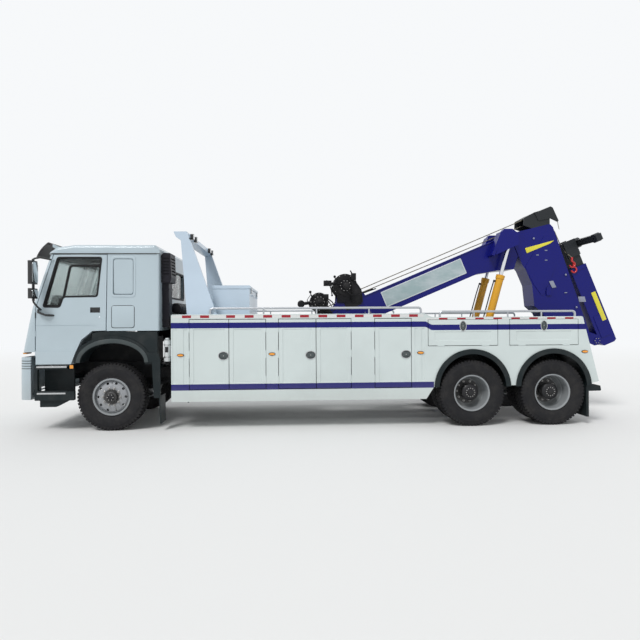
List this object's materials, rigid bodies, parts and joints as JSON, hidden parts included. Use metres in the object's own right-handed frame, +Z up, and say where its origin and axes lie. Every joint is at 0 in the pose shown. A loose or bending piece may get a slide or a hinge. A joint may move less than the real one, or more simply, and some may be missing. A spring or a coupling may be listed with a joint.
{
  "type": "heavy recovery tow truck",
  "caption": "Heavy recovery truck with a tilting cab, locker bodies on both sides, a lifting and extending boom with winches, and a folded underlift arm.",
  "frame": {"origin": "on the ground, below the middle of the truck", "axes": "+X forward, +Y to the left, +Z up"},
  "size_m": [10.3415, 3, 3.822],
  "materials": {
    "body_white": "gloss paint",
    "boom_blue": "gloss paint",
    "cab_white": "gloss paint",
    "chassis_black": "satin paint",
    "chrome": "polished",
    "cylinder_yellow": "gloss paint",
    "glass": "clear",
    "guard_black": "matt",
    "hoop_blue_white": "satin paint",
    "interior_grey": "matt",
    "lamp": "clear orange",
    "rim_grey": "satin paint",
    "steel": "worn",
    "tyre_black": "dull rubber",
    "winch_black": "satin paint"
  },
  "bodies": {
    "root": {"frame_rails": "chassis_black", "engine_block": "chassis_black", "running_gear": "chassis_black", "front_bumper": "cab_white", "lamps": "lamp", "dark_guards": "guard_black", "under_tanks": "chassis_black", "side_body_left": "body_white", "side_body_right": "body_white", "deck_locker": "hoop_blue_white", "light_hoop": "hoop_blue_white", "handrails": "chrome", "boom_pedestal": "boom_blue"},
    "cab": {"cab_shell": "cab_white", "cab_roof": "cab_white", "cab_front_panel": "cab_white", "cab_glass": "glass", "cab_interior": "interior_grey", "air_intake": "guard_black"},
    "boom": {"outer_boom": "boom_blue", "winches": "winch_black"},
    "inner_boom": {"inner_boom": "boom_blue", "sheave_head": "steel"},
    "lift_barrels": {"lift_barrels": "cylinder_yellow"},
    "lift_rods": {"lift_rods": "chrome"},
    "underlift_arm": {"underlift_arm": "boom_blue"},
    "underlift_slide": {"underlift_slide": "steel"},
    "crossbar": {"crossbar": "steel"},
    "cab_door_left": {"cab_door_left": "cab_white", "door_glass_left": "glass"},
    "knuckle_left": {"knuckle_left": "chassis_black"},
    "front_wheel_left": {"front_tyre_left": "tyre_black", "front_rim_left": "rim_grey"},
    "mid_wheel_left": {"mid_tyres_left": "tyre_black", "mid_rims_left": "rim_grey"},
    "rear_wheel_left": {"rear_tyres_left": "tyre_black", "rear_rims_left": "rim_grey"},
    "cab_door_right": {"cab_door_right": "cab_white", "door_glass_right": "glass"},
    "knuckle_right": {"knuckle_right": "chassis_black"},
    "front_wheel_right": {"front_tyre_right": "tyre_black", "front_rim_right": "rim_grey"},
    "mid_wheel_right": {"mid_tyres_right": "tyre_black", "mid_rims_right": "rim_grey"},
    "rear_wheel_right": {"rear_tyres_right": "tyre_black", "rear_rims_right": "rim_grey"},
    "locker_door_1_left": {"locker_door_1_left": "body_white"},
    "locker_door_1_right": {"locker_door_1_right": "body_white"},
    "locker_door_2_left": {"locker_door_2_left": "body_white"},
    "locker_door_2_right": {"locker_door_2_right": "body_white"},
    "locker_door_3_left": {"locker_door_3_left": "body_white"},
    "locker_door_3_right": {"locker_door_3_right": "body_white"},
    "locker_door_4_left": {"locker_door_4_left": "body_white"},
    "locker_door_4_right": {"locker_door_4_right": "body_white"},
    "locker_door_5_left": {"locker_door_5_left": "body_white"},
    "locker_door_5_right": {"locker_door_5_right": "body_white"},
    "rear_hatch_1_left": {"rear_hatch_1_left": "body_white"},
    "rear_hatch_1_right": {"rear_hatch_1_right": "body_white"},
    "rear_hatch_2_left": {"rear_hatch_2_left": "body_white"},
    "rear_hatch_2_right": {"rear_hatch_2_right": "body_white"}
  },
  "joints": [
    {"name": "cab_tilt", "type": "hinge", "parent": "root", "child": "cab", "pos_m": [5.035, 0, 1.12], "axis": [0, 1, 0], "range_deg": [0, 50]},
    {"name": "cab_door_left", "type": "hinge", "parent": "cab", "child": "cab_door_left", "pos_m": [4.899, 1.222, 1.5], "axis": [0, 0, -1], "range_deg": [0, 70]},
    {"name": "steer_left", "type": "hinge", "parent": "root", "child": "knuckle_left", "pos_m": [3.755, 0.78, 0.54], "axis": [0, 0, 1], "range_deg": [-32, 32]},
    {"name": "front_wheel_left", "type": "hinge", "parent": "knuckle_left", "child": "front_wheel_left", "pos_m": [3.755, 1.02, 0.54], "axis": [0, 1, 0], "continuous": true},
    {"name": "mid_wheel_left", "type": "hinge", "parent": "root", "child": "mid_wheel_left", "pos_m": [-2.069, 0.92, 0.54], "axis": [0, 1, 0], "continuous": true},
    {"name": "rear_wheel_left", "type": "hinge", "parent": "root", "child": "rear_wheel_left", "pos_m": [-3.419, 0.92, 0.54], "axis": [0, 1, 0], "continuous": true},
    {"name": "cab_door_right", "type": "hinge", "parent": "cab", "child": "cab_door_right", "pos_m": [4.899, -1.222, 1.5], "axis": [0, 0, 1], "range_deg": [0, 70]},
    {"name": "steer_right", "type": "hinge", "parent": "root", "child": "knuckle_right", "pos_m": [3.755, -0.78, 0.54], "axis": [0, 0, 1], "range_deg": [-32, 32]},
    {"name": "front_wheel_right", "type": "hinge", "parent": "knuckle_right", "child": "front_wheel_right", "pos_m": [3.755, -1.02, 0.54], "axis": [0, 1, 0], "continuous": true},
    {"name": "mid_wheel_right", "type": "hinge", "parent": "root", "child": "mid_wheel_right", "pos_m": [-2.069, -0.92, 0.54], "axis": [0, 1, 0], "continuous": true},
    {"name": "rear_wheel_right", "type": "hinge", "parent": "root", "child": "rear_wheel_right", "pos_m": [-3.419, -0.92, 0.54], "axis": [0, 1, 0], "continuous": true},
    {"name": "locker_door_1_left", "type": "hinge", "parent": "root", "child": "locker_door_1_left", "pos_m": [2.502, 1.25, 1.21], "axis": [0, 0, -1], "range_deg": [0, 95]},
    {"name": "locker_door_1_right", "type": "hinge", "parent": "root", "child": "locker_door_1_right", "pos_m": [2.502, -1.25, 1.21], "axis": [0, 0, 1], "range_deg": [0, 95]},
    {"name": "locker_door_2_left", "type": "hinge", "parent": "root", "child": "locker_door_2_left", "pos_m": [1.289, 1.25, 1.21], "axis": [0, 0, 1], "range_deg": [0, 95]},
    {"name": "locker_door_2_right", "type": "hinge", "parent": "root", "child": "locker_door_2_right", "pos_m": [1.289, -1.25, 1.21], "axis": [0, 0, -1], "range_deg": [0, 95]},
    {"name": "locker_door_3_left", "type": "hinge", "parent": "root", "child": "locker_door_3_left", "pos_m": [1.085, 1.25, 1.21], "axis": [0, 0, -1], "range_deg": [0, 95]},
    {"name": "locker_door_3_right", "type": "hinge", "parent": "root", "child": "locker_door_3_right", "pos_m": [1.085, -1.25, 1.21], "axis": [0, 0, 1], "range_deg": [0, 95]},
    {"name": "locker_door_4_left", "type": "hinge", "parent": "root", "child": "locker_door_4_left", "pos_m": [-0.083, 1.25, 1.21], "axis": [0, 0, 1], "range_deg": [0, 95]},
    {"name": "locker_door_4_right", "type": "hinge", "parent": "root", "child": "locker_door_4_right", "pos_m": [-0.083, -1.25, 1.21], "axis": [0, 0, -1], "range_deg": [0, 95]},
    {"name": "locker_door_5_left", "type": "hinge", "parent": "root", "child": "locker_door_5_left", "pos_m": [-0.467, 1.25, 1.21], "axis": [0, 0, -1], "range_deg": [0, 95]},
    {"name": "locker_door_5_right", "type": "hinge", "parent": "root", "child": "locker_door_5_right", "pos_m": [-0.467, -1.25, 1.21], "axis": [0, 0, 1], "range_deg": [0, 95]},
    {"name": "rear_hatch_1_left", "type": "hinge", "parent": "root", "child": "rear_hatch_1_left", "pos_m": [-1.915, 1.25, 1.321], "axis": [-1, 0, 0], "range_deg": [0, 90]},
    {"name": "rear_hatch_1_right", "type": "hinge", "parent": "root", "child": "rear_hatch_1_right", "pos_m": [-1.915, -1.25, 1.321], "axis": [1, 0, 0], "range_deg": [0, 90]},
    {"name": "rear_hatch_2_left", "type": "hinge", "parent": "root", "child": "rear_hatch_2_left", "pos_m": [-3.2625, 1.25, 1.321], "axis": [-1, 0, 0], "range_deg": [0, 90]},
    {"name": "rear_hatch_2_right", "type": "hinge", "parent": "root", "child": "rear_hatch_2_right", "pos_m": [-3.2625, -1.25, 1.321], "axis": [1, 0, 0], "range_deg": [0, 90]},
    {"name": "boom_lift", "type": "hinge", "parent": "root", "child": "boom", "pos_m": [-0.495, 0, 1.8], "axis": [0, 1, 0], "range_deg": [-10, 20]},
    {"name": "lift_barrels", "type": "hinge", "parent": "root", "child": "lift_barrels", "pos_m": [-2.515, 0, 1.19], "axis": [0, 1, 0], "range_deg": [-10, 19]},
    {"name": "lift_rods", "type": "slide", "parent": "lift_barrels", "child": "lift_rods", "axis": [-0.2697, 0, 0.9629], "range_m": [-0.4, 0.78]},
    {"name": "boom_extend", "type": "slide", "parent": "boom", "child": "inner_boom", "axis": [-0.9219, 0, 0.3875], "range_m": [0, 1.2]},
    {"name": "arm_fold", "type": "hinge", "parent": "inner_boom", "child": "underlift_arm", "pos_m": [-4.765, 0, 1.34], "axis": [0, -1, 0], "range_deg": [0, 100]},
    {"name": "arm_extend", "type": "slide", "parent": "underlift_arm", "child": "underlift_slide", "axis": [0.3778, 0, 0.9259], "range_m": [0, 0.7]},
    {"name": "crossbar_swivel", "type": "hinge", "parent": "underlift_slide", "child": "crossbar", "pos_m": [-4.49968, 0, 3.17584], "axis": [-0.9259, 0, 0.3778], "range_deg": [-15, 15]}
  ],
  "couplings": [
    {"joint": "steer_right", "follows": "steer_left", "ratio": 1},
    {"joint": "lift_barrels", "follows": "boom_lift", "ratio": 0.9},
    {"joint": "lift_rods", "follows": "boom_lift", "m_per_rad": 2.09}
  ]
}
